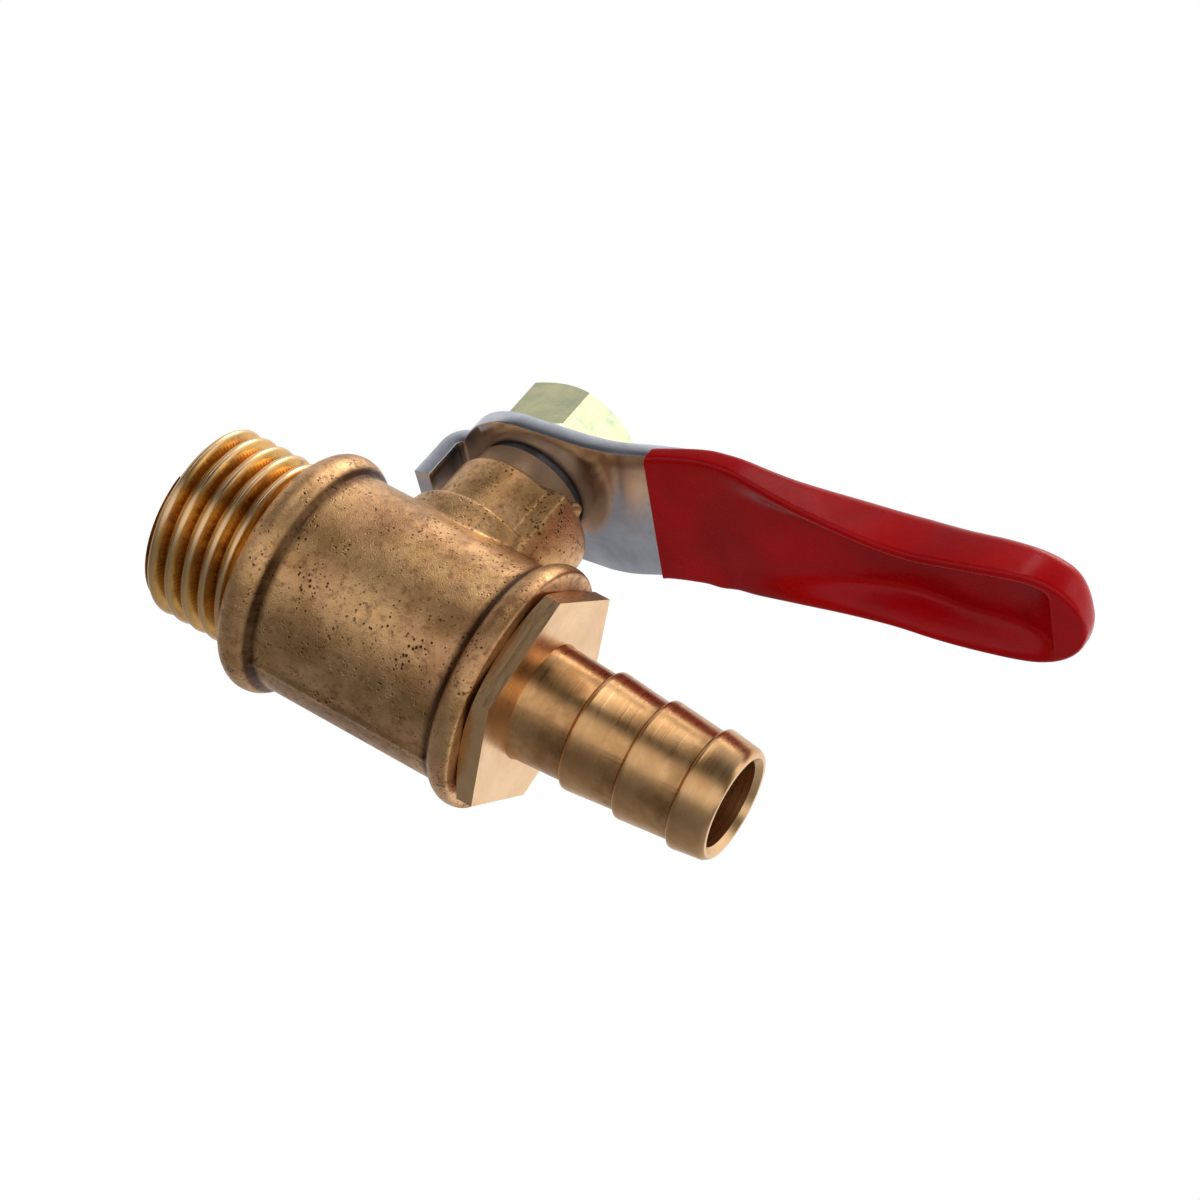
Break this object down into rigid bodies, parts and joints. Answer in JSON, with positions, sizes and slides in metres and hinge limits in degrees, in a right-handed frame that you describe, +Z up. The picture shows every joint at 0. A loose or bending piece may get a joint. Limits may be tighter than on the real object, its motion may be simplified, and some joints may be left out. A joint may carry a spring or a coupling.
{
  "type": "ball valve",
  "caption": "Brass quarter-turn ball valve with a male pipe thread inlet, a barbed hose tail and a dip-coated steel lever handle.",
  "frame": {"origin": "centre of the inlet end face, on the flow axis", "axes": "+X along the flow from the thread towards the hose tail; +Z up the stem towards the lever; Y completes the right-handed set. At rest the lever leans 13 degrees towards -Y on its open stop"},
  "size_m": [0.055, 0.0203, 0.0294],
  "materials": {
    "body_brass": "forged and shot-blasted, turned on the thread and the rim",
    "tail_brass": "turned bright",
    "stem_brass": "turned bright",
    "ball_chrome": "polished",
    "ptfe": "moulded PTFE",
    "seal_rubber": "moulded",
    "zinc_steel": "bright zinc plate",
    "yellow_zinc": "yellow passivated zinc plate",
    "red_coat": "glossy dipped coat"
  },
  "bodies": {
    "valve": {"valve_body": "body_brass", "hose_tail": "tail_brass", "inlet_seat": "ptfe", "outlet_seat": "ptfe", "stem_thrust_washer": "ptfe", "tail_o_ring": "seal_rubber"},
    "handle": {"stem": "stem_brass", "stem_o_ring_lower": "seal_rubber", "stem_o_ring_upper": "seal_rubber", "stem_washer": "zinc_steel", "lever": "zinc_steel", "lever_grip": "red_coat", "spring_washer": "yellow_zinc", "lever_nut": "yellow_zinc", "ball": "ball_chrome"}
  },
  "joints": [
    {"name": "lever_turn", "type": "hinge", "parent": "valve", "child": "handle", "pos_m": [0.01665, 0, 0], "axis": [0, 0, 1], "range_deg": [0, 116]}
  ]
}
